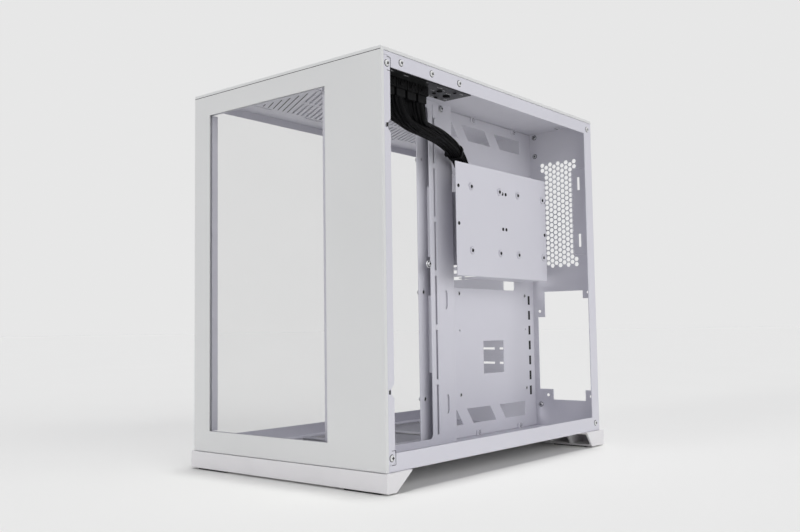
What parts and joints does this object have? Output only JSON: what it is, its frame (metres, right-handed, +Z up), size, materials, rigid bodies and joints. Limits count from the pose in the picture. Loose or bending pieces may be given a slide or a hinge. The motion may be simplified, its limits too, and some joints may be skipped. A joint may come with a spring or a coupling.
{
  "type": "dual chamber computer case",
  "caption": "Dual chamber computer case in folded white steel with a glass front window, open cable side, board tray, fan bracket, drive plate, perforated rear and filtered vents.",
  "frame": {"origin": "middle of the footprint, on the floor under the feet", "axes": "+Z up, +Y from the glass front to the rear panel, +X across to the open cable side on the right"},
  "size_m": [0.2904, 0.443, 0.4306],
  "materials": {
    "white_paint": "satin white powder coat on folded sheet steel",
    "clear_glass": "clear tempered glass",
    "white_plastic": "matte white moulding",
    "filter_mesh": "fine woven dust mesh",
    "foot_rubber": "matte rubber",
    "screw_white": "white painted screws",
    "standoff_brass": "turned brass",
    "board_black": "black solder mask",
    "port_steel": "plain steel shells",
    "black_plastic": "matte black moulding",
    "lead_sheath": "matte black cable sheath"
  },
  "bodies": {
    "case": {"front_panel": "white_paint", "top_panel": "white_paint", "chassis_bottom": "white_paint", "chassis_top": "white_paint", "front_frame": "white_paint", "rear_panel": "white_paint", "power_supply_plate": "white_paint", "rear_post_right": "white_paint", "rear_post_left": "white_paint", "motherboard_tray": "white_paint", "fan_bracket": "white_paint", "drive_plate": "white_paint", "drive_plate_bracket_front": "white_paint", "drive_plate_bracket_rear": "white_paint", "io_bracket": "white_paint", "slot_cover_1": "white_paint", "slot_cover_2": "white_paint", "slot_cover_3": "white_paint", "slot_cover_4": "white_paint", "slot_cover_5": "white_paint", "slot_cover_6": "white_paint", "slot_cover_7": "white_paint", "front_glass": "clear_glass", "side_glass": "clear_glass", "front_foot": "white_plastic", "rear_foot": "white_plastic", "top_filter_rim": "white_plastic", "floor_filter_rim": "white_plastic", "top_filter_mesh": "filter_mesh", "floor_filter_mesh": "filter_mesh", "foot_pads": "foot_rubber", "side_screws": "screw_white", "slot_screws": "screw_white", "board_standoffs": "standoff_brass", "io_spacers": "standoff_brass", "io_board": "board_black", "usb_port_1": "port_steel", "usb_port_2": "port_steel", "usb_c_port": "port_steel", "audio_jack": "black_plastic", "button_switches": "black_plastic", "lead_sockets": "black_plastic", "lead_plug_1": "black_plastic", "lead_plug_2": "black_plastic", "lead_plug_3": "black_plastic", "lead_plug_4": "black_plastic", "cable_tie": "black_plastic", "lead_1": "lead_sheath", "lead_2": "lead_sheath", "lead_3": "lead_sheath", "lead_4": "lead_sheath"},
    "power_button": {"power_button": "white_plastic"},
    "reset_button": {"reset_button": "white_plastic"}
  },
  "joints": [
    {"name": "power_press", "type": "slide", "parent": "case", "child": "power_button", "axis": [0, 0, -1], "range_m": [0, 0.0012], "stiffness_N_per_m": 500},
    {"name": "reset_press", "type": "slide", "parent": "case", "child": "reset_button", "axis": [0, 0, -1], "range_m": [0, 0.0012], "stiffness_N_per_m": 500}
  ]
}
